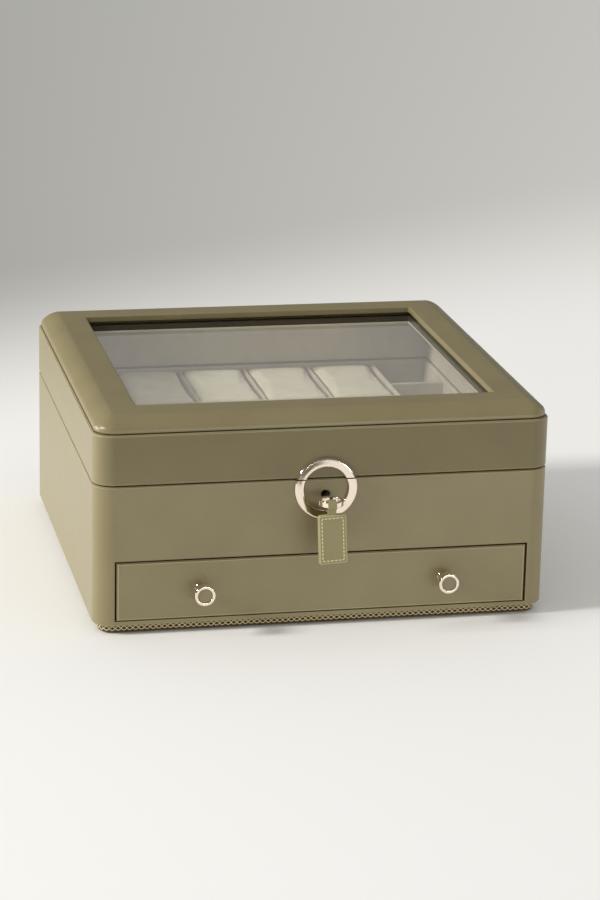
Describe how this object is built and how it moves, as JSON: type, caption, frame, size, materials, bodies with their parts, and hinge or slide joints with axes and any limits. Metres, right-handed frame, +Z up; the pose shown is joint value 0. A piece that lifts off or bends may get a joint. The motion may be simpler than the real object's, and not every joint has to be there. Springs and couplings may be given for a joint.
{
  "type": "watch and jewellery box",
  "caption": "Lockable watch and jewellery box with a glazed hinged lid, watch pillows, ring rolls, a divided tray and a drawer with round knobs.",
  "frame": {"origin": "centre of the felt underside, on the floor, midway between the case's sides and between its front and back faces", "axes": "+Z up; the front, with the drawer, key and knobs, faces -Y; +X is to the right seen from the front"},
  "size_m": [0.3, 0.3257, 0.1447],
  "materials": {
    "olive_leather": "smooth matte coated leather",
    "tag_leather": "smooth matte coated leather, cream stitching",
    "board": "plain fibre board",
    "lining_suede": "short-pile suede cloth",
    "pillow_suede": "short-pile suede cloth over foam",
    "felt": "pressed felt",
    "woven_tape": "brown woven tape with a cream lozenge row",
    "glass": "clear float glass",
    "rose_gold": "polished pale rose gold plate",
    "dark_bronze": "dark bronze plate",
    "hinge_brass": "satin brass plate",
    "steel": "zinc-plated steel"
  },
  "bodies": {
    "base": {"base_carcass": "olive_leather", "base_floor": "board", "plinth_board": "board", "plinth_tape": "woven_tape", "underside_felt": "felt", "drawer_shelf": "board", "drawer_guides": "board", "drawer_stop": "board", "liner_front": "lining_suede", "liner_back": "lining_suede", "liner_left": "lining_suede", "liner_right": "lining_suede", "tray_floor_pad": "lining_suede", "divider_left": "lining_suede", "divider_right": "lining_suede", "divider_cross_rear": "lining_suede", "divider_cross_front": "lining_suede", "cell_dividers": "lining_suede", "well_dividers": "lining_suede", "ring_rolls": "pillow_suede", "escutcheon_lower": "rose_gold", "lock_case": "steel", "lock_screws": "steel", "hinge_lower_leaves": "hinge_brass", "hinge_pins": "hinge_brass", "hinge_screws_lower": "steel"},
    "lid": {"lid_band": "olive_leather", "lid_cap_frame": "olive_leather", "glass_pane": "glass", "glass_retainer": "felt", "lid_lining": "lining_suede", "escutcheon_upper": "rose_gold", "strike_plate": "steel", "strike_screws": "steel", "hinge_upper_leaves": "hinge_brass", "hinge_screws_upper": "steel"},
    "drawer": {"drawer_front": "olive_leather", "drawer_side_left": "board", "drawer_side_right": "board", "drawer_back": "board", "drawer_bottom": "board", "drawer_lining": "lining_suede", "drawer_dividers": "lining_suede", "knobs": "rose_gold", "knob_insets": "olive_leather", "knob_screws": "steel"},
    "plug": {"lock_plug": "dark_bronze", "lock_hook": "steel", "plug_clip": "steel"},
    "key": {"key_shaft": "dark_bronze", "key_bow": "rose_gold"},
    "tag": {"tag_strap": "tag_leather", "tag_leather": "tag_leather"},
    "pillow_1": {"pillow_1": "pillow_suede"},
    "pillow_2": {"pillow_2": "pillow_suede"},
    "pillow_3": {"pillow_3": "pillow_suede"},
    "pillow_4": {"pillow_4": "pillow_suede"}
  },
  "joints": [
    {"name": "lid_hinge", "type": "hinge", "parent": "base", "child": "lid", "pos_m": [0, 0.1497, 0.1003], "axis": [-1, 0, 0], "range_deg": [0, 95]},
    {"name": "drawer_slide", "type": "slide", "parent": "base", "child": "drawer", "axis": [0, -1, 0], "range_m": [0, 0.18]},
    {"name": "lock_turn", "type": "hinge", "parent": "base", "child": "plug", "pos_m": [0, -0.145, 0.0896], "axis": [0, 1, 0], "range_deg": [0, 90]},
    {"name": "key_pull", "type": "slide", "parent": "plug", "child": "key", "axis": [0, -1, 0], "range_m": [0, 0.02]},
    {"name": "tag_swing", "type": "hinge", "parent": "key", "child": "tag", "pos_m": [-0.0011, -0.17021, 0.0896], "axis": [-1, 0, 0], "range_deg": [-25, 90]},
    {"name": "pillow_1_lift", "type": "slide", "parent": "base", "child": "pillow_1", "axis": [0, 0, 1], "range_m": [0, 0.03]},
    {"name": "pillow_2_lift", "type": "slide", "parent": "base", "child": "pillow_2", "axis": [0, 0, 1], "range_m": [0, 0.03]},
    {"name": "pillow_3_lift", "type": "slide", "parent": "base", "child": "pillow_3", "axis": [0, 0, 1], "range_m": [0, 0.03]},
    {"name": "pillow_4_lift", "type": "slide", "parent": "base", "child": "pillow_4", "axis": [0, 0, 1], "range_m": [0, 0.03]}
  ]
}
